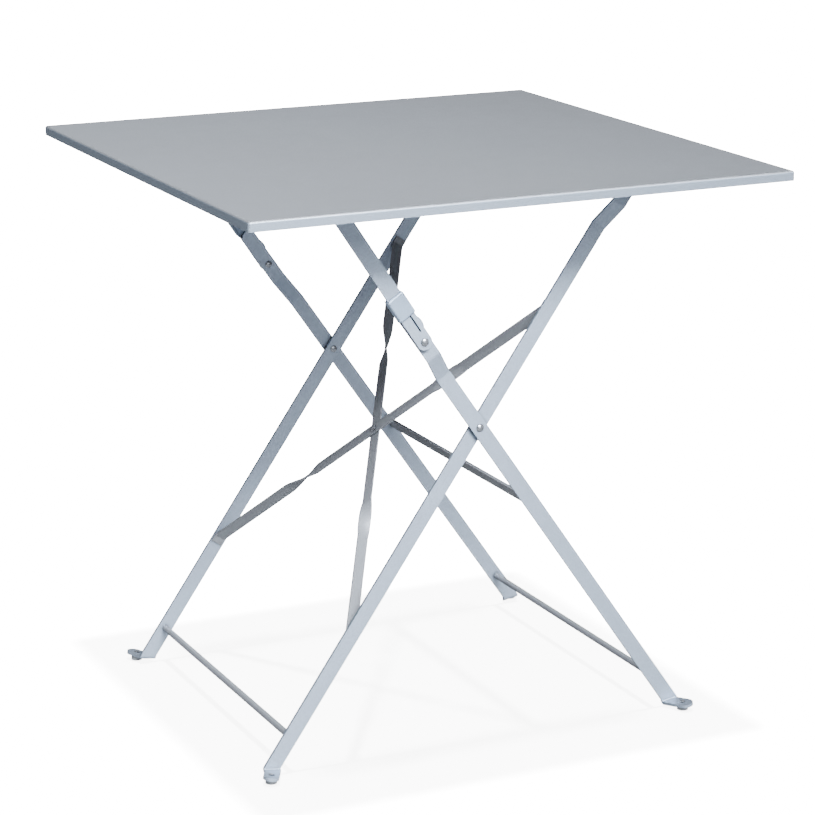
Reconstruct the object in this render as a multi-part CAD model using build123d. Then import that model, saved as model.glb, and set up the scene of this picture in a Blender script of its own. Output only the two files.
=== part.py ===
from build123d import *

import os
from math import atan2, cos, radians, sin, tan

# Folding square bistro table, millimetres. +Z is up, the floor is Z = 0, the origin is under the
# middle of the top. The legs lean along X. "Near" is the -Y side, "far" its mirror image.

# Driving dimensions of the whole table
TOP_SIDE = 700.0
HEIGHT = 709.0
SCISSOR_X = -2.6  # the leg frame stands slightly off the middle of the top
SCISSOR_Z = 402.6
LEG_ANGLE = 55.1  # degrees from the floor, both pairs of legs
HINGE_Z = 680.6  # height of the hinges under the top
ELBOW_REACH = 146.0  # scissor rivet to elbow rivet, up the outer leg

# Flat bar of the legs and links
BAR_WIDTH = 19.5
BAR_THICK = 4.0
JOGGLE_OFFSET = 15.0
JOGGLE_LENGTH = 34.0
BEND_RADIUS = 8.0

# Distance of each layer's middle plane from the middle of the table
INNER_LEG_Y = 214.0
OUTER_LEG_Y = 220.0
LINK_Y = 240.5
RAIL_WEB_Y = 234.75

# Where the bars bend and end, measured up the bar from the scissor rivet
INNER_JOGGLE_START = 284.0
OUTER_JOGGLE_START = 86.0
OUTER_TAIL = 56.0  # how far the outer leg runs on past the elbow rivet

# Pressed top
SHEET = 1.5
RIM_DEPTH = 12.0
RIM_EDGE_RADIUS = 2.8
CORNER_RADIUS = 3.5
HEM_WIDTH = 9.0

# Hinge rails under the top
RAIL_HALF_LENGTH = 222.0
RAIL_FLANGE_WIDTH = 20.0
RAIL_FLANGE_THICK = 2.5
RAIL_WEB_THICK = 3.0
RAIL_WEB_DEPTH = 10.0
EAR_RADIUS = 9.5
EAR_ROOT = 40.0

# Feet
GLIDE_HEIGHT = 6.0  # floor to the underside of the foot tab, at the glide's middle
GLIDE_RADIUS = 6.5
GLIDE_FLARE = 0.6
FOOT_TILT = 9.0  # degrees; the fold line of a foot rises towards the side the leg leans to
FOOT_BEND_INNER = 1.5
PIN_ALONG = 19.5  # from the leg's outer face to the glide pin, along the tab
TAB_END_ALONG = 24.0  # and to the middle of the tab's rounded end

# Cross members
ROD_RADIUS = 4.2
INNER_ROD_DOWN = 435.5
OUTER_ROD_DOWN = 437.0
CROSSBAR_DOWN = 140.5
CROSSBAR_WIDTH = 20.0
CROSSBAR_THICK = 4.0
CROSSBAR_SIDE = 5.3

# Twisted diagonal braces between the inner legs
BRACE_WIDTH = 16.0
BRACE_THICK = 2.0
BRACE_MIDDLE_DOWN = 65.0
BRACE_HALF_RISE = 229.0
BRACE_TAB = 9.0
BRACE_BEND = 4.0
TWIST_MIDDLE = 138.0
TWIST_LENGTH = 56.0
TWIST_STEPS = 8

# Rivets, washers and their clearances
RIVET_RADIUS = 3.0
HEAD_RADIUS = 4.8
HEAD_HEIGHT = 2.6
TAIL_RADIUS = 4.4
TAIL_HEIGHT = 1.8
WASHER_RADIUS = 7.5
FIT = 0.1
GLIDE_PIN_RADIUS = 2.2
GLIDE_HEAD_RADIUS = 3.6
GLIDE_HEAD_HEIGHT = 1.8

# Locking collars on the links
COLLAR_START = 39.0  # from the elbow rivet up the link
COLLAR_LENGTH = 32.0
COLLAR_HALF_WIDTH = 11.8
COLLAR_FRONT = 2.4
COLLAR_BACK = 1.0
COLLAR_LIP = 1.1
COLLAR_LIP_DEPTH = 2.3
COLLAR_ROUND = 2.4
COLLAR_CORNER = 2.6
FAR_COLLAR_LIFT = 16.0  # the far collar is pushed up, clear of the outer leg's tail
CATCH_START = 14.0
CATCH_LENGTH = 21.0
CATCH_HEIGHT = 2.1
SLIT_WIDTH = 2.0
SLIT_LENGTH = 31.0
SLIT_SIDE = 3.2

# Worked out
THETA = radians(LEG_ANGLE)
TILT = radians(FOOT_TILT)
HALF_BAR = BAR_WIDTH / 2
HALF_THICK = BAR_THICK / 2
SCISSOR = Vector(SCISSOR_X, 0, SCISSOR_Z)
INNER_UP = Vector(cos(THETA), 0, sin(THETA))
OUTER_UP = Vector(-cos(THETA), 0, sin(THETA))
INNER_REACH = (HINGE_Z - SCISSOR_Z) / sin(THETA)
LEG_HINGE = SCISSOR + INNER_UP * INNER_REACH
ELBOW = SCISSOR + OUTER_UP * ELBOW_REACH
FOLD_DEPTH = FOOT_BEND_INNER + BAR_THICK
DRIFT = radians(90 - LEG_ANGLE - FOOT_TILT)  # how far the tab slants off square, being the bar folded
FOOT_TOP = GLIDE_HEIGHT + FOLD_DEPTH * cos(TILT) - PIN_ALONG * sin(DRIFT) * sin(TILT)
INNER_TOP_Y = INNER_LEG_Y + JOGGLE_OFFSET
ELBOW_Y = OUTER_LEG_Y + JOGGLE_OFFSET


def link_hinge_point():
    """The table folds flat when scissor, elbow and both hinges fall in line, which sets this hinge."""
    rise = HINGE_Z - ELBOW.Z
    spare = LEG_HINGE.X - ELBOW.X + ELBOW_REACH - INNER_REACH
    run = (spare**2 - rise**2) / (2 * spare)
    return Vector(ELBOW.X + run, 0, HINGE_Z)


LINK_HINGE = link_hinge_point()
LINK_LENGTH = (LINK_HINGE - ELBOW).length
LINK_UP = (LINK_HINGE - ELBOW).normalized()
OUTWARD = Vector(0, -1, 0)


def bar_plane(origin, up):
    """Local X runs up the bar, local Y points outward, local Z to the bar's right-hand edge."""
    return Plane(origin=origin, x_dir=up, z_dir=up.cross(OUTWARD))


def face_plane(origin, up):
    """Local X runs up the bar, local Z points outward, so local -Y is its right-hand edge."""
    return Plane(origin=origin, x_dir=up, z_dir=OUTWARD)


def at_depth(point, depth):
    """The same point moved outward, on the near side."""
    return Vector(point.X, -depth, point.Z)


def far(part):
    return mirror(part, about=Plane.XZ)


def y_cylinder(point, radius, start, end):
    """A cylinder along the near side's outward direction, from depth start to depth end."""
    base = Plane(origin=at_depth(point, start), z_dir=OUTWARD)
    return extrude(base * Circle(radius), end - start)


def dome(radius, height):
    """A low rivet head, flat side on the XY plane: a thin rim with a slice of a ball on it."""
    rim = height * 0.25
    rise = height - rim
    ball = (radius**2 + rise**2) / (2 * rise)
    upright = (Align.CENTER, Align.CENTER, Align.MIN)
    slab = Pos(0, 0, rim) * Box(2 * ball, 2 * ball, height, align=upright)
    crown = Pos(0, 0, height - ball) * Sphere(ball) & slab
    return Cylinder(radius, rim, align=upright) + crown


def rivet(point, inner, outer, head=True, tail=True):
    """A rivet whose shank runs from depth inner to depth outer, domed outside, flat inside."""
    body = y_cylinder(point, RIVET_RADIUS, inner, outer)
    if head:
        seat = Plane(origin=at_depth(point, outer), z_dir=OUTWARD)
        body += seat * dome(HEAD_RADIUS, HEAD_HEIGHT)
    if tail:
        seat = Plane(origin=at_depth(point, inner), z_dir=OUTWARD * -1)
        body += seat * dome(TAIL_RADIUS, TAIL_HEIGHT)
    return body


def washer(point, inner, outer):
    ring = y_cylinder(point, WASHER_RADIUS, inner + FIT, outer - FIT)
    return ring - y_cylinder(point, RIVET_RADIUS + FIT, inner, outer)


def rivet_hole(point, depth):
    return y_cylinder(point, RIVET_RADIUS + FIT, depth - BAR_THICK, depth + BAR_THICK)


# Legs: flat bar with a joggle near the top and a foot tab bent outward at the bottom


def foot_place(lean, leg_y):
    """Frame of a near leg's fold: local X along the fold line, -Y outward from the leg's outer face.

    Lean is the X direction of the foot, +1 or -1. Local Z = 0 is the top of the fold.
    """
    foot_x = SCISSOR_X + lean * (SCISSOR_Z - FOOT_TOP) / tan(THETA)
    fold_line = (cos(TILT), 0, lean * sin(TILT))
    square_up = (-lean * sin(TILT), 0, cos(TILT))
    return Plane(origin=(foot_x, -(leg_y + HALF_THICK), FOOT_TOP), x_dir=fold_line, z_dir=square_up)


def leg_bar(up, lean, low_y, joggle_start, top):
    """The bar with its joggle, cut at the fold above the foot and rounded about the point at top."""
    plane = bar_plane(SCISSOR, up)
    bottom = -SCISSOR_Z / sin(THETA)
    line = FilletPolyline(
        (bottom, low_y),
        (joggle_start, low_y),
        (joggle_start + JOGGLE_LENGTH, low_y + JOGGLE_OFFSET),
        (top + HALF_BAR, low_y + JOGGLE_OFFSET),
        radius=BEND_RADIUS,
    )
    bar = plane * extrude(trace(line, BAR_THICK), HALF_BAR, both=True)
    outline = Pos((bottom + top) / 2, 0) * SlotCenterToCenter(top - bottom, BAR_WIDTH)
    bar &= extrude(face_plane(SCISSOR, up) * outline, HEIGHT)
    above_fold = Pos(0, 0, HEIGHT) * Box(3 * TOP_SIDE, 2 * TOP_SIDE, 2 * HEIGHT)
    return bar & foot_place(lean, low_y) * above_fold


def along_tab(lean, distance):
    """A point on the tab's middle line, in the fold's frame."""
    return Pos(lean * distance * sin(DRIFT), -distance * cos(DRIFT), 0)


def pin_place(lean, leg_y, depth):
    """Frame on the glide pin's axis, at a depth under the top of the fold."""
    return foot_place(lean, leg_y) * along_tab(lean, PIN_ALONG) * Pos(0, 0, -depth)


def foot_tab(lean, leg_y):
    """The leg's end, folded outward, with a rounded end and a hole for the glide's pin."""
    half_section = HALF_BAR / sin(THETA + TILT)
    ring = Circle(FOLD_DEPTH) - Circle(FOOT_BEND_INNER)
    quarter = Rectangle(2 * FOLD_DEPTH, 2 * FOLD_DEPTH, align=(Align.MAX, Align.MIN))
    across = Plane(origin=(-half_section, -FOOT_BEND_INNER, 0), x_dir=(0, -1, 0), z_dir=(1, 0, 0))
    fold = extrude(across * (ring & quarter), 2 * half_section)
    root = Line((-half_section, -FOOT_BEND_INNER), (half_section, -FOOT_BEND_INNER))
    end = along_tab(lean, TAB_END_ALONG) * Circle(HALF_BAR)
    strip = extrude(make_hull([*root.edges(), *end.edges()]), BAR_THICK)
    tab = fold + Pos(0, 0, -FOLD_DEPTH) * strip
    hole = pin_place(lean, leg_y, FOLD_DEPTH) * Cylinder(GLIDE_PIN_RADIUS + FIT, 3 * BAR_THICK)
    return foot_place(lean, leg_y) * tab - hole


def inner_leg():
    leg = leg_bar(INNER_UP, -1, INNER_LEG_Y, INNER_JOGGLE_START, INNER_REACH)
    leg += foot_tab(-1, INNER_LEG_Y)
    leg -= rivet_hole(SCISSOR, INNER_LEG_Y)
    return leg - rivet_hole(LEG_HINGE, INNER_TOP_Y)


def outer_leg():
    top = ELBOW_REACH + OUTER_TAIL - HALF_BAR
    leg = leg_bar(OUTER_UP, 1, OUTER_LEG_Y, OUTER_JOGGLE_START, top)
    leg += foot_tab(1, OUTER_LEG_Y)
    leg -= rivet_hole(SCISSOR, OUTER_LEG_Y)
    return leg - rivet_hole(ELBOW, ELBOW_Y)


def glide(lean, leg_y):
    """A low plastic pad, level on the floor, cut to the tab's slope above, with a pin socket."""
    seat = pin_place(lean, leg_y, FOLD_DEPTH)
    middle = (seat.position.X, seat.position.Y)
    base = Plane(origin=(*middle, 0))
    upper = Plane(origin=(*middle, 2 * GLIDE_HEIGHT))
    pad = loft([base * Circle(GLIDE_RADIUS + GLIDE_FLARE), upper * Circle(GLIDE_RADIUS)])
    room = 4 * GLIDE_HEIGHT
    pad -= seat * Box(room, room, room, align=(Align.CENTER, Align.CENTER, Align.MIN))
    return pad - seat * Cylinder(GLIDE_PIN_RADIUS + FIT, GLIDE_HEIGHT)


def glide_pin(lean, leg_y):
    """The pin that holds a glide: a low head on the tab and a shank down into the pad."""
    on_tab = pin_place(lean, leg_y, FOOT_BEND_INNER)
    reach = BAR_THICK + GLIDE_HEIGHT / 3
    shank = Cylinder(GLIDE_PIN_RADIUS, reach, align=(Align.CENTER, Align.CENTER, Align.MAX))
    return on_tab * (shank + dome(GLIDE_HEAD_RADIUS, GLIDE_HEAD_HEIGHT))


# Cross members


def foot_rod(up, down, leg_y):
    """A round rod between the inner faces of a pair of legs."""
    place = SCISSOR - up * down
    half = leg_y - HALF_THICK
    return y_cylinder(place, ROD_RADIUS, -half, half)


def crossbar():
    """A flat bar between the outer legs, flush with their right-hand edges."""
    half = OUTER_LEG_Y - HALF_THICK
    bar = Box(CROSSBAR_WIDTH, 2 * half, CROSSBAR_THICK)
    return bar_plane(SCISSOR, OUTER_UP) * Pos(-CROSSBAR_DOWN, 0, CROSSBAR_SIDE) * bar


def brace_half(rise, run):
    """One half of a twisted brace, from the crossing towards a leg, in the inner legs' plane.

    Local X is up the leg, Y across the table and Z out of the plane. The strip starts flat in the
    plane, turns a quarter about its own length and ends in a short tab along the leg.
    """
    slope = atan2(rise, run)
    along = Plane(origin=(0, 0, 0), x_dir=(sin(slope), cos(slope), 0), z_dir=(0, 0, 1))
    twist_start = TWIST_MIDDLE - TWIST_LENGTH / 2
    twist_end = TWIST_MIDDLE + TWIST_LENGTH / 2
    strip = along * Pos(twist_start / 2, 0, 0) * Box(twist_start, BRACE_WIDTH, BRACE_THICK)
    direction = Vector(sin(slope), cos(slope), 0)
    sections = []
    for step in range(TWIST_STEPS + 1):
        share = step / TWIST_STEPS
        turn = 90 * share
        centre = direction * (twist_start + TWIST_LENGTH * share)
        place = Plane(origin=centre, x_dir=(0, 0, 1), z_dir=direction)
        sections.append(place * Rot(0, 0, 90 + turn) * Rectangle(BRACE_WIDTH, BRACE_THICK))
    twisted = loft(sections)
    start = direction * twist_end
    corner = Vector(rise, run, 0)
    tab_end = corner + Vector(BRACE_TAB if rise > 0 else -BRACE_TAB, 0, 0)
    line = FilletPolyline(start, corner, tab_end, radius=BRACE_BEND)
    end = extrude(trace(line, BRACE_THICK), BRACE_WIDTH / 2, both=True)
    return strip + twisted + end


def brace(level):
    """A whole brace; level +1 rises towards the near side and passes in front at the crossing."""
    run = INNER_LEG_Y - HALF_THICK - BRACE_THICK / 2
    half = brace_half(BRACE_HALF_RISE, run)
    if level < 0:
        half = mirror(half, about=Plane.XZ)
    whole = half + Rot(0, 0, 180) * half
    hole = Cylinder(RIVET_RADIUS + FIT, 3 * BRACE_THICK)
    place = bar_plane(SCISSOR - INNER_UP * BRACE_MIDDLE_DOWN, INNER_UP)
    return place * Pos(0, 0, -level * (BRACE_THICK + FIT) / 2) * (whole - hole)


def brace_rivet():
    """The short rivet through the crossing of the braces, across the leg plane."""
    place = bar_plane(SCISSOR - INNER_UP * BRACE_MIDDLE_DOWN, INNER_UP)
    half = BRACE_THICK + FIT
    shank = Cylinder(RIVET_RADIUS, 2 * half)
    head = Rot(180, 0, 0) * Pos(0, 0, half) * dome(HEAD_RADIUS, HEAD_HEIGHT)
    tail = Pos(0, 0, half) * dome(TAIL_RADIUS, TAIL_HEIGHT)
    return place * (shank + head + tail)


# Links and their locking collars


def link():
    """The upper bar from the elbow to the top, with a slit and a catch on its right-hand edge."""
    outline = Pos(LINK_LENGTH / 2, 0) * SlotCenterToCenter(LINK_LENGTH, BAR_WIDTH)
    foot = (CATCH_START, -HALF_BAR + 1)
    crest = (CATCH_START + CATCH_LENGTH / 2, -HALF_BAR - CATCH_HEIGHT)
    head = (CATCH_START + CATCH_LENGTH, -HALF_BAR + 1)
    catch = make_face(ThreePointArc(foot, crest, head) + Line(head, foot))
    slit = Pos(CATCH_START + SLIT_LENGTH / 2, -SLIT_SIDE) * SlotOverall(SLIT_LENGTH, SLIT_WIDTH)
    place = face_plane(at_depth(ELBOW, LINK_Y - HALF_THICK), LINK_UP)
    bar = extrude(place * (outline + catch - slit), BAR_THICK)
    return bar - rivet_hole(ELBOW, LINK_Y) - rivet_hole(LINK_HINGE, LINK_Y)


def collar(lift):
    """A sleeve that slides on the link, with a lip that the outer leg's tail rests against."""
    plane = bar_plane(ELBOW + LINK_UP * (COLLAR_START + lift), LINK_UP)
    back = LINK_Y - HALF_THICK - FIT
    front = LINK_Y + HALF_THICK + FIT
    depth = front - back + COLLAR_FRONT + COLLAR_BACK
    middle = (front + COLLAR_FRONT + back - COLLAR_BACK) / 2
    shell = Pos(COLLAR_LENGTH / 2, middle, 0) * Box(COLLAR_LENGTH, depth, 2 * COLLAR_HALF_WIDTH)
    shell = fillet(shell.edges().filter_by(Axis.Y), COLLAR_CORNER)
    shell = fillet(shell.faces().sort_by(Axis.Y)[-1].edges(), COLLAR_ROUND)
    lip_y = back - COLLAR_BACK
    lip_depth = COLLAR_LIP_DEPTH + COLLAR_BACK
    low_corner = (Align.MIN, Align.MIN, Align.MIN)
    lip = Box(COLLAR_LENGTH, lip_depth, COLLAR_LIP, align=low_corner)
    lip = Pos(0, lip_y - COLLAR_LIP_DEPTH, -COLLAR_HALF_WIDTH) * lip
    bore = Pos(COLLAR_LENGTH / 2, (front + back) / 2, 0) * Box(
        2 * COLLAR_LENGTH, front - back, BAR_WIDTH + 2 * FIT
    )
    return plane * (shell + lip - bore)


# Top


def top_sheet():
    """The pressed top: a tray turned upside down, with a narrow hem inside its rim."""
    deck = Plane(origin=(0, 0, HEIGHT - RIM_DEPTH))
    outside = extrude(deck * RectangleRounded(TOP_SIDE, TOP_SIDE, CORNER_RADIUS), RIM_DEPTH)
    outside = fillet(outside.faces().sort_by(Axis.Z)[-1].edges(), RIM_EDGE_RADIUS)
    inner_side = TOP_SIDE - 2 * SHEET
    hollow_outline = deck * RectangleRounded(inner_side, inner_side, CORNER_RADIUS - SHEET)
    hollow = extrude(hollow_outline, RIM_DEPTH - SHEET)
    hollow = fillet(hollow.faces().sort_by(Axis.Z)[-1].edges(), RIM_EDGE_RADIUS - SHEET)
    hem_side = inner_side - 2 * HEM_WIDTH
    hem = extrude(hollow_outline - deck * Rectangle(hem_side, hem_side), SHEET)
    return outside - hollow + hem


def hinge_rail():
    """The rail under the near side of the top: a flange on the sheet and a web with two ears."""
    under = HEIGHT - SHEET
    web_in = RAIL_WEB_Y - RAIL_WEB_THICK / 2
    corner = (Align.CENTER, Align.MIN, Align.MAX)
    flange = Box(2 * RAIL_HALF_LENGTH, RAIL_FLANGE_WIDTH, RAIL_FLANGE_THICK, align=corner)
    rail = Pos(0, -web_in, under) * flange
    upper_edge = (Align.CENTER, Align.MAX, Align.MAX)
    strip = Box(2 * RAIL_HALF_LENGTH, RAIL_WEB_THICK, RAIL_WEB_DEPTH, align=upper_edge)
    rail += Pos(0, -web_in, under) * strip
    ear_plane = Plane(origin=(0, -web_in, 0), x_dir=(1, 0, 0), z_dir=OUTWARD)
    root_z = under - RAIL_WEB_DEPTH / 2
    for hinge in (LINK_HINGE, LEG_HINGE):
        circle = Pos(hinge.X, hinge.Z) * Circle(EAR_RADIUS)
        root = Edge.make_line((hinge.X - EAR_ROOT / 2, root_z), (hinge.X + EAR_ROOT / 2, root_z))
        ear = make_hull([root, *circle.edges()])
        rail += extrude(ear_plane * ear, RAIL_WEB_THICK)
        rail -= y_cylinder(hinge, RIVET_RADIUS + FIT, web_in - BAR_THICK, web_in + 2 * BAR_THICK)
    return rail


def link_hinge_parts():
    """Rivet and washer that hold a link on its rail."""
    web_in = RAIL_WEB_Y - RAIL_WEB_THICK / 2
    web_out = RAIL_WEB_Y + RAIL_WEB_THICK / 2
    pin = rivet(LINK_HINGE, web_in - FIT, LINK_Y + HALF_THICK + FIT)
    return pin, washer(LINK_HINGE, web_out, LINK_Y - HALF_THICK)


def leg_hinge_parts():
    """The inner leg's hinge, in two halves that meet at the leg's outer face, and its washer."""
    leg_in = INNER_TOP_Y - HALF_THICK
    leg_out = INNER_TOP_Y + HALF_THICK
    web_in = RAIL_WEB_Y - RAIL_WEB_THICK / 2
    web_out = RAIL_WEB_Y + RAIL_WEB_THICK / 2
    leg_half = rivet(LEG_HINGE, leg_in - FIT, leg_out, head=False)
    rail_half = rivet(LEG_HINGE, leg_out + 2 * FIT, web_out + FIT, tail=False)
    spacer = washer(LEG_HINGE, leg_out + FIT, web_in)
    return leg_half, rail_half, spacer


def scissor_parts():
    pin = rivet(SCISSOR, INNER_LEG_Y - HALF_THICK - FIT, OUTER_LEG_Y + HALF_THICK + FIT)
    return pin, washer(SCISSOR, INNER_LEG_Y + HALF_THICK, OUTER_LEG_Y - HALF_THICK)


def elbow_parts():
    pin = rivet(ELBOW, ELBOW_Y - HALF_THICK - FIT, LINK_Y + HALF_THICK + FIT)
    return pin, washer(ELBOW, ELBOW_Y + HALF_THICK, LINK_Y - HALF_THICK)


def paired(name, part):
    """The near part and its mirror image on the far side."""
    return {f"{name}_near": part, f"{name}_far": far(part)}


def build():
    scissor_rivet, scissor_washer = scissor_parts()
    elbow_rivet, elbow_washer = elbow_parts()
    link_rivet, link_washer = link_hinge_parts()
    leg_half, rail_half, leg_washer = leg_hinge_parts()
    inner_pin = glide_pin(-1, INNER_LEG_Y)
    outer_pin = glide_pin(1, OUTER_LEG_Y)
    return {
        "table_top": top_sheet(),
        **paired("hinge_rail", hinge_rail()),
        **paired("link_hinge_rivet", link_rivet),
        **paired("link_hinge_washer", link_washer),
        **paired("leg_hinge_rivet_head", rail_half),
        **paired("leg_hinge_washer", leg_washer),
        **paired("leg_hinge_rivet_tail", leg_half),
        **paired("upper_link", link()),
        "locking_collar_near": collar(0),
        "locking_collar_far": far(collar(FAR_COLLAR_LIFT)),
        **paired("outer_leg", outer_leg()),
        **paired("elbow_rivet", elbow_rivet),
        **paired("elbow_washer", elbow_washer),
        **paired("scissor_rivet", scissor_rivet),
        **paired("scissor_washer", scissor_washer),
        "outer_crossbar": crossbar(),
        "outer_foot_rod": foot_rod(OUTER_UP, OUTER_ROD_DOWN, OUTER_LEG_Y),
        **paired("outer_glide", glide(1, OUTER_LEG_Y)),
        "outer_glide_pins": Compound([outer_pin, far(outer_pin)]),
        **paired("inner_leg", inner_leg()),
        "brace_front": brace(1),
        "brace_back": brace(-1),
        "brace_rivet": brace_rivet(),
        "inner_foot_rod": foot_rod(INNER_UP, INNER_ROD_DOWN, INNER_LEG_Y),
        **paired("inner_glide", glide(-1, INNER_LEG_Y)),
        "inner_glide_pins": Compound([inner_pin, far(inner_pin)]),
    }


os.makedirs("parts", exist_ok=True)
for node, shape in build().items():
    export_step(shape, f"parts/{node}.step")
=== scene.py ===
import math

import bpy
from mathutils import Matrix, Vector


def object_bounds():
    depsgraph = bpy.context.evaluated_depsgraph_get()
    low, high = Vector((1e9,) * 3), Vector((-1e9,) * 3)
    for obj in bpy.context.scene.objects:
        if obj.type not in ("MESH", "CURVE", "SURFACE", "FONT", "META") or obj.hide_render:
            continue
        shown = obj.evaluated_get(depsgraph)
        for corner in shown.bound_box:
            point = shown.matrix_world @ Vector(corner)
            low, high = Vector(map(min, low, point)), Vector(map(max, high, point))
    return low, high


# Looks of the folding bistro table: powder-coated steel on a pale studio floor. Metres, CAD frame.

CAMERA_PLACE = Vector((-1.4601, -3.0921, 1.3099))
CAMERA_HEADING = 25.37  # degrees from +Y towards +X
CAMERA_DIP = 15.32
CAMERA_ROLL = -0.10
LENS = 122.8
SENSOR = 36.0

KEY_TINT = (0.93, 1.0, 1.08)
FLOOR_GLOW = 7.8  # how bright the floor is without the overhead lights

EDGE_ROUND = 0.00045
MERGE_DISTANCE = 0.00001
SHARP_ANGLE = math.radians(35)

NOISE_LOW = 0.3  # most of a noise texture's values lie between these two
NOISE_HIGH = 0.7

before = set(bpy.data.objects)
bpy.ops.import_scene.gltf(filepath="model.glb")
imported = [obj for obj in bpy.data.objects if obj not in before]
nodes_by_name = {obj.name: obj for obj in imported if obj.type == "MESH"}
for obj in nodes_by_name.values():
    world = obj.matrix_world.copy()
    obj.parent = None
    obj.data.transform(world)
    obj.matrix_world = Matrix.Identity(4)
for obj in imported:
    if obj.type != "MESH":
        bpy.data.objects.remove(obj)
cad_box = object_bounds()


# Materials


def start_material(name):
    """A new material with its node tree, ready shader and object coordinates."""
    material = bpy.data.materials.new(name)
    material.use_nodes = True
    tree = material.node_tree
    shader = tree.nodes["Principled BSDF"]
    coordinates = tree.nodes.new("ShaderNodeTexCoord").outputs["Object"]
    return material, tree, shader, coordinates


def noise(tree, coordinates, scale, detail=2.0, roughness=0.5, distortion=0.0):
    """A noise texture's grey value; scale is in cycles per metre."""
    node = tree.nodes.new("ShaderNodeTexNoise")
    node.inputs["Scale"].default_value = scale
    node.inputs["Detail"].default_value = detail
    node.inputs["Roughness"].default_value = roughness
    node.inputs["Distortion"].default_value = distortion
    tree.links.new(coordinates, node.inputs["Vector"])
    return node.outputs["Fac"]


def ramp(tree, value, low, high, low_colour, high_colour):
    """A two-stop colour ramp over a grey value."""
    node = tree.nodes.new("ShaderNodeValToRGB")
    node.color_ramp.elements[0].position = low
    node.color_ramp.elements[1].position = high
    node.color_ramp.elements[0].color = (*low_colour, 1.0)
    node.color_ramp.elements[1].color = (*high_colour, 1.0)
    tree.links.new(value, node.inputs["Fac"])
    return node.outputs["Color"]


def mix(tree, kind, share, first, second):
    """Two colours mixed; share is a number or a socket."""
    node = tree.nodes.new("ShaderNodeMix")
    node.data_type = "RGBA"
    node.blend_type = kind
    if isinstance(share, float):
        node.inputs["Factor"].default_value = share
    else:
        tree.links.new(share, node.inputs["Factor"])
    for socket, colour in ((node.inputs["A"], first), (node.inputs["B"], second)):
        if isinstance(colour, tuple):
            socket.default_value = (*colour, 1.0)
        else:
            tree.links.new(colour, socket)
    return node.outputs["Result"]


def spread(tree, value, low, high):
    """A noise's middle range stretched onto low to high."""
    node = tree.nodes.new("ShaderNodeMapRange")
    node.inputs["From Min"].default_value = NOISE_LOW
    node.inputs["From Max"].default_value = NOISE_HIGH
    node.inputs["To Min"].default_value = low
    node.inputs["To Max"].default_value = high
    tree.links.new(value, node.inputs["Value"])
    return node.outputs["Result"]


def bump(tree, height, strength, distance, before=None):
    """A bump's normal, laid over an earlier normal when there is one."""
    node = tree.nodes.new("ShaderNodeBump")
    node.inputs["Strength"].default_value = strength
    node.inputs["Distance"].default_value = distance
    tree.links.new(height, node.inputs["Height"])
    if before is not None:
        tree.links.new(before, node.inputs["Normal"])
    return node.outputs["Normal"]


def painted_crevice_shade(tree, reach=0.006, closed_at=0.35, open_at=0.95, darkest=0.35):
    """Painted shade: a grey value that darkens where another surface stands closer than reach, as in
    creases, at joints and round rivet heads.
    """
    node = tree.nodes.new("ShaderNodeAmbientOcclusion")
    node.samples = 8
    node.inputs["Distance"].default_value = reach
    return ramp(tree, node.outputs["AO"], closed_at, open_at, (darkest,) * 3, (1.0,) * 3)


def scaled(colour, factor):
    return tuple(channel * factor for channel in colour)


def below(tree, coordinates, height):
    """1 where the piece lies below a height over the floor, 0 above it."""
    split = tree.nodes.new("ShaderNodeSeparateXYZ")
    tree.links.new(coordinates, split.inputs["Vector"])
    compare = tree.nodes.new("ShaderNodeMath")
    compare.operation = "LESS_THAN"
    compare.inputs[1].default_value = height
    tree.links.new(split.outputs["Z"], compare.inputs[0])
    return compare.outputs["Value"]


def painted_edge_shade_mask(tree, painted_edge_shade):
    """Painted shade: a grey value that is 1 on a bar's broad sides, which face along Y, and the edge shade
    on the rest, where less light falls.
    """
    split = tree.nodes.new("ShaderNodeSeparateXYZ")
    normal = tree.nodes.new("ShaderNodeTexCoord").outputs["Normal"]
    tree.links.new(normal, split.inputs["Vector"])
    size = tree.nodes.new("ShaderNodeMath")
    size.operation = "ABSOLUTE"
    tree.links.new(split.outputs["Y"], size.inputs[0])
    return ramp(tree, size.outputs["Value"], 0.3, 0.85, (painted_edge_shade,) * 3, (1.0,) * 3)


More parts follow.
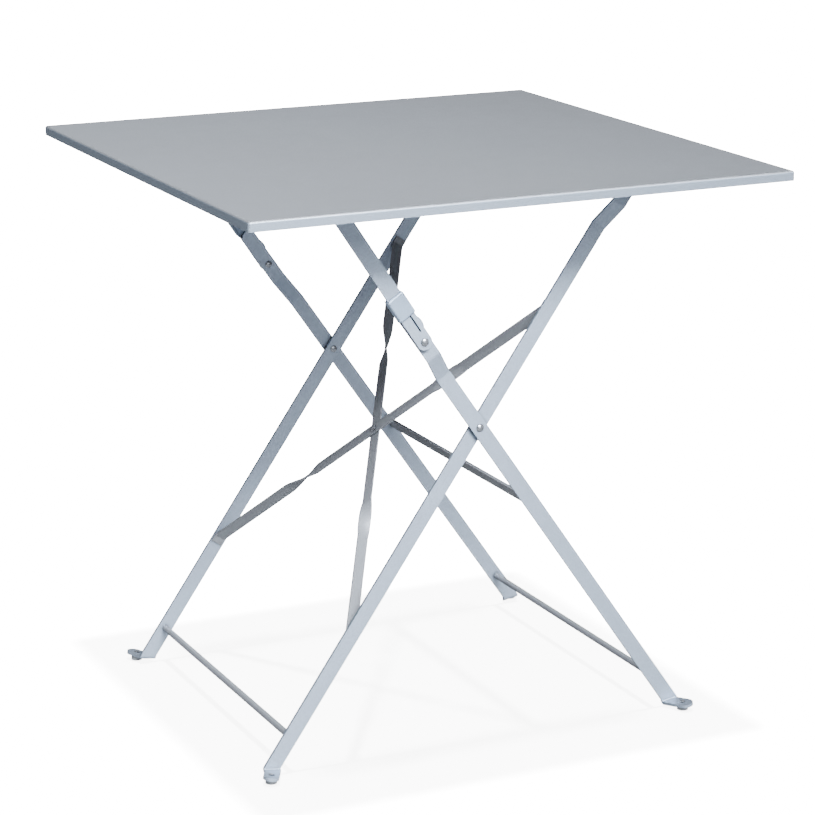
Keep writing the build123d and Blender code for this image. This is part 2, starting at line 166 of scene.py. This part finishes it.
def powder_coat(name, colour, roughness, grain=1.0, metal=0.6, painted_light_below=None, painted_edge_shade=1.0):
    """Textured powder coat: cloudy tint, fine light and dark specks, orange peel and grit.

    The height and colour given for below paint light: under that height, on the turned-down rim and the
    sheet's underside, the coat takes a lighter, bluer colour, as the rim faces the front light more than
    the top does. The edge argument darkens a bar's narrow edges and its foot tab with painted shade, since
    less light falls there. Every coat also gets painted shade in its creases.
    """
    material, tree, shader, place = start_material(name)
    cloud = noise(tree, place, 5.0, detail=3.0)
    base = ramp(tree, cloud, NOISE_LOW, NOISE_HIGH, scaled(colour, 0.98), scaled(colour, 1.02))
    # painted light: a lighter, bluer colour below the top's edge, on the rim
    if painted_light_below is not None:
        base = mix(tree, "MIX", below(tree, place, painted_light_below[0]), base, painted_light_below[1])
    # painted shade: narrow edges and foot tabs, which catch less light, are darkened
    if painted_edge_shade < 1.0:
        base = mix(tree, "MULTIPLY", 1.0, base, painted_edge_shade_mask(tree, painted_edge_shade))
    speck = noise(tree, place, 1100.0, detail=1.0, roughness=0.6)
    dark, light = 1.0 - 0.16 * grain, 1.0 + 0.16 * grain
    specks = ramp(tree, speck, 0.36, 0.64, (dark,) * 3, (light,) * 3)
    tinted = mix(tree, "MULTIPLY", 1.0, base, specks)
    # painted crease shade is multiplied into the coat's colour
    tree.links.new(mix(tree, "MULTIPLY", 1.0, tinted, painted_crevice_shade(tree)), shader.inputs["Base Color"])
    patch = noise(tree, place, 38.0, detail=4.0)
    tree.links.new(spread(tree, patch, roughness - 0.015, roughness + 0.015), shader.inputs["Roughness"])
    peel = bump(tree, noise(tree, place, 420.0, detail=1.0), 0.02, 0.0004)
    grit = bump(tree, noise(tree, place, 900.0, detail=2.0), 0.16, 0.0002, peel)
    tree.links.new(grit, shader.inputs["Normal"])
    shader.inputs["Specular IOR Level"].default_value = 0.45
    shader.inputs["Metallic"].default_value = metal
    return material


def zinc(name):
    """Plated rivet steel: bright, faintly mottled, with small handling scratches and a painted dark ring
    of shade round the head's foot.
    """
    material, tree, shader, place = start_material(name)
    mottle = noise(tree, place, 300.0, detail=4.0)
    colour = ramp(tree, mottle, NOISE_LOW, NOISE_HIGH, (0.32, 0.33, 0.35), (0.46, 0.47, 0.50))
    # painted shade: a dark ring where the rivet head meets the bar
    foot = painted_crevice_shade(tree, reach=0.005, closed_at=0.85, open_at=0.985, darkest=0.03)
    tree.links.new(mix(tree, "MULTIPLY", 1.0, colour, foot), shader.inputs["Base Color"])
    tree.links.new(spread(tree, mottle, 0.20, 0.34), shader.inputs["Roughness"])
    scratch = noise(tree, place, 1500.0, detail=3.0, distortion=1.5)
    tree.links.new(bump(tree, scratch, 0.15, 0.0001), shader.inputs["Normal"])
    shader.inputs["Metallic"].default_value = 0.85
    return material


def glide_plastic(name):
    """Moulded grey plastic with a fine matt grain."""
    material, tree, shader, place = start_material(name)
    cloud = noise(tree, place, 120.0, detail=3.0)
    colour = ramp(tree, cloud, NOISE_LOW, NOISE_HIGH, (0.33, 0.34, 0.36), (0.40, 0.41, 0.43))
    tree.links.new(colour, shader.inputs["Base Color"])
    tree.links.new(spread(tree, cloud, 0.5, 0.62), shader.inputs["Roughness"])
    tree.links.new(bump(tree, noise(tree, place, 1400.0), 0.2, 0.0001), shader.inputs["Normal"])
    return material


COAT_COLOUR = (0.252, 0.258, 0.272)
# painted light: the rim below the top's edge is coloured lighter and bluer than the top
RIM_PAINTED_LIGHT_COLOUR = (0.290, 0.334, 0.396)
LEG_COLOUR = (0.492, 0.562, 0.668)
BRACE_COLOUR = (0.215, 0.222, 0.238)
COLLAR_COLOUR = (0.325, 0.400, 0.505)
RIM_HEIGHT = cad_box[1][2] - 0.0014

coat = powder_coat("grey_powder_coat_look", COAT_COLOUR, 0.50, painted_light_below=(RIM_HEIGHT, RIM_PAINTED_LIGHT_COLOUR))
leg_coat = powder_coat("leg_powder_coat_look", LEG_COLOUR, 0.53, 0.7, metal=0.8, painted_edge_shade=0.68)
brace_coat = powder_coat("brace_powder_coat_look", BRACE_COLOUR, 0.50, grain=0.7, metal=0.3)
collar_coat = powder_coat("collar_coat_look", COLLAR_COLOUR, 0.58, grain=0.4)
rivet_zinc = zinc("zinc_rivet_look")
glide_grey = glide_plastic("glide_plastic_look")


def look_for(name):
    if "rivet" in name or "washer" in name or "pins" in name:
        return rivet_zinc
    if "glide" in name:
        return glide_grey
    if "collar" in name:
        return collar_coat
    if "leg" in name or "link" in name:
        return leg_coat
    if "brace" in name or "crossbar" in name or "rod" in name:
        return brace_coat
    return coat


def clean_mesh_nodes():
    """Joins the split corners, drops the stored normals and shades smooth up to a sharp angle."""
    group = bpy.data.node_groups.new("clean mesh", "GeometryNodeTree")
    group.interface.new_socket("Geometry", in_out="INPUT", socket_type="NodeSocketGeometry")
    group.interface.new_socket("Geometry", in_out="OUTPUT", socket_type="NodeSocketGeometry")
    start = group.nodes.new("NodeGroupInput").outputs["Geometry"]
    forget = group.nodes.new("GeometryNodeRemoveAttribute")
    forget.inputs["Name"].default_value = "custom_normal"
    group.links.new(start, forget.inputs["Geometry"])
    join = group.nodes.new("GeometryNodeMergeByDistance")
    join.inputs["Distance"].default_value = MERGE_DISTANCE
    group.links.new(forget.outputs["Geometry"], join.inputs["Geometry"])
    smooth = group.nodes.new("GeometryNodeSetShadeSmooth")
    smooth.domain = "FACE"
    group.links.new(join.outputs["Geometry"], smooth.inputs["Geometry"])
    angle = group.nodes.new("GeometryNodeInputMeshEdgeAngle").outputs["Unsigned Angle"]
    is_round = group.nodes.new("FunctionNodeCompare")
    is_round.operation = "LESS_THAN"
    is_round.inputs["B"].default_value = SHARP_ANGLE
    group.links.new(angle, is_round.inputs["A"])
    sharpen = group.nodes.new("GeometryNodeSetShadeSmooth")
    sharpen.domain = "EDGE"
    group.links.new(smooth.outputs["Geometry"], sharpen.inputs["Geometry"])
    group.links.new(is_round.outputs["Result"], sharpen.inputs["Shade Smooth"])
    end = group.nodes.new("NodeGroupOutput")
    group.links.new(sharpen.outputs["Geometry"], end.inputs["Geometry"])
    return group


CLEAN_MESH = clean_mesh_nodes()


def soften_edges(piece, width):
    """Cleans the mesh and rounds its edges slightly, for a highlight along each of them."""
    clean = piece.modifiers.new("clean", "NODES")
    clean.node_group = CLEAN_MESH
    flat = piece.modifiers.new("flat faces", "DECIMATE")
    flat.decimate_type = "DISSOLVE"
    flat.angle_limit = math.radians(0.5)
    bevel = piece.modifiers.new("edge round", "BEVEL")
    bevel.width = width
    bevel.segments = 2
    bevel.limit_method = "ANGLE"
    bevel.angle_limit = SHARP_ANGLE
    bevel.harden_normals = True


BARS = ("leg", "link", "brace", "crossbar", "rail", "collar")

for name, node in nodes_by_name.items():
    node.data.materials.clear()
    node.data.materials.append(look_for(name))
    is_bar = any(word in name for word in BARS)
    if is_bar and look_for(name) is not rivet_zinc:
        soften_edges(node, EDGE_ROUND)


# Stage


def floor_plane(name, height, size):
    bpy.ops.mesh.primitive_plane_add(size=size, location=(0, 0, height))
    floor = bpy.context.object
    floor.name = name
    return floor


def seen_floor():
    """The pale floor that the picture shows; only the overhead lights fall on it."""
    floor = floor_plane("pale_floor", -0.0004, 60.0)
    material, tree, shader, place = start_material("pale_floor_look")
    cloud = noise(tree, place, 1.5, detail=2.0)
    tree.links.new(ramp(tree, cloud, 0.2, 0.8, (0.86,) * 3, (0.90,) * 3), shader.inputs["Base Color"])
    shader.inputs["Roughness"].default_value = 0.9
    shader.inputs["Specular IOR Level"].default_value = 0.1
    shader.inputs["Emission Color"].default_value = (1.0, 1.0, 1.0, 1.0)
    shader.inputs["Emission Strength"].default_value = FLOOR_GLOW
    floor.data.materials.append(material)
    floor.visible_diffuse = False
    floor.visible_glossy = False
    floor.visible_shadow = False
    return floor


def bounce_floor():
    """The light the floor sends back up to the table, out of the camera's sight."""
    floor = floor_plane("bounce_floor", -0.0002, 30.0)
    material, _, shader, _ = start_material("bounce_floor_look")
    shader.inputs["Base Color"].default_value = (0.25, 0.25, 0.25, 1.0)
    shader.inputs["Roughness"].default_value = 1.0
    shader.inputs["Specular IOR Level"].default_value = 0.0
    floor.data.materials.append(material)
    floor.visible_camera = False
    floor.visible_shadow = False


def linked(name, obj, state):
    """A collection that lets a light take in only this object, or leave out only this one."""
    group = bpy.data.collections.new(name)
    group.objects.link(obj)
    group.collection_objects[0].light_linking.link_state = state
    return group


def add_light(name, data, place, aim, receivers):
    """A light that shines along aim, on the receivers only."""
    light = bpy.data.objects.new(name, data)
    light.location = place
    light.rotation_euler = aim.to_track_quat("-Z", "Y").to_euler()
    light.light_linking.receiver_collection = receivers
    bpy.context.scene.collection.objects.link(light)
    return light


def soft_box(name, place, target, size, power, receivers, fan=180.0):
    """A rectangular soft box; fan is the angle in degrees that its light spreads over."""
    data = bpy.data.lights.new(name, "AREA")
    data.shape = "RECTANGLE"
    data.size, data.size_y = size
    data.energy = power
    data.color = KEY_TINT
    data.spread = math.radians(fan)
    add_light(name, data, place, Vector(target) - Vector(place), receivers)


def overhead(name, strength, receivers):
    """Light from straight above that only draws the shadows on the floor."""
    data = bpy.data.lights.new(name, "SUN")
    data.energy = strength
    data.angle = math.radians(4.0)
    return add_light(name, data, (0, 0, 3.0), Vector((0, 0, -1)), receivers)


def surroundings(strength):
    world = bpy.data.worlds.new("studio")
    world.use_nodes = True
    background = world.node_tree.nodes["Background"]
    background.inputs["Color"].default_value = (0.98, 0.99, 1.0, 1.0)
    background.inputs["Strength"].default_value = strength
    bpy.context.scene.world = world


def add_camera():
    data = bpy.data.cameras.new("camera")
    data.lens = LENS
    data.sensor_width = SENSOR
    camera = bpy.data.objects.new("camera", data)
    heading = Matrix.Rotation(math.radians(-CAMERA_HEADING), 4, "Z")
    tilt = Matrix.Rotation(math.radians(90 - CAMERA_DIP), 4, "X")
    roll = Matrix.Rotation(math.radians(CAMERA_ROLL), 4, "Z")
    camera.matrix_world = Matrix.Translation(CAMERA_PLACE) @ heading @ tilt @ roll
    bpy.context.scene.collection.objects.link(camera)
    bpy.context.scene.camera = camera


shown_floor = seen_floor()
bounce_floor()
only_floor = linked("only_floor", shown_floor, "INCLUDE")
all_but_floor = linked("all_but_floor", shown_floor, "EXCLUDE")
soft_box("key", (-0.3, -3.2, 3.55), (-1.0, 0.8, 0.45), (2.4, 1.1), 188, all_but_floor, fan=60.0)
soft_box("mid_panel", (-0.3, -5.0, 3.3), (0, 0, 0.45), (3.6, 1.4), 190, all_but_floor)
soft_box("low_panel", (0.3, -5.5, 1.2), (0, 0, 0.4), (3.6, 1.6), 42, all_but_floor)
overhead("overhead", 45.0, only_floor)
through_top = overhead("overhead_past_the_top", 9.0, only_floor)
through_top.light_linking.blocker_collection = linked("all_but_top", nodes_by_name["table_top"], "EXCLUDE")
surroundings(0.15)
add_camera()
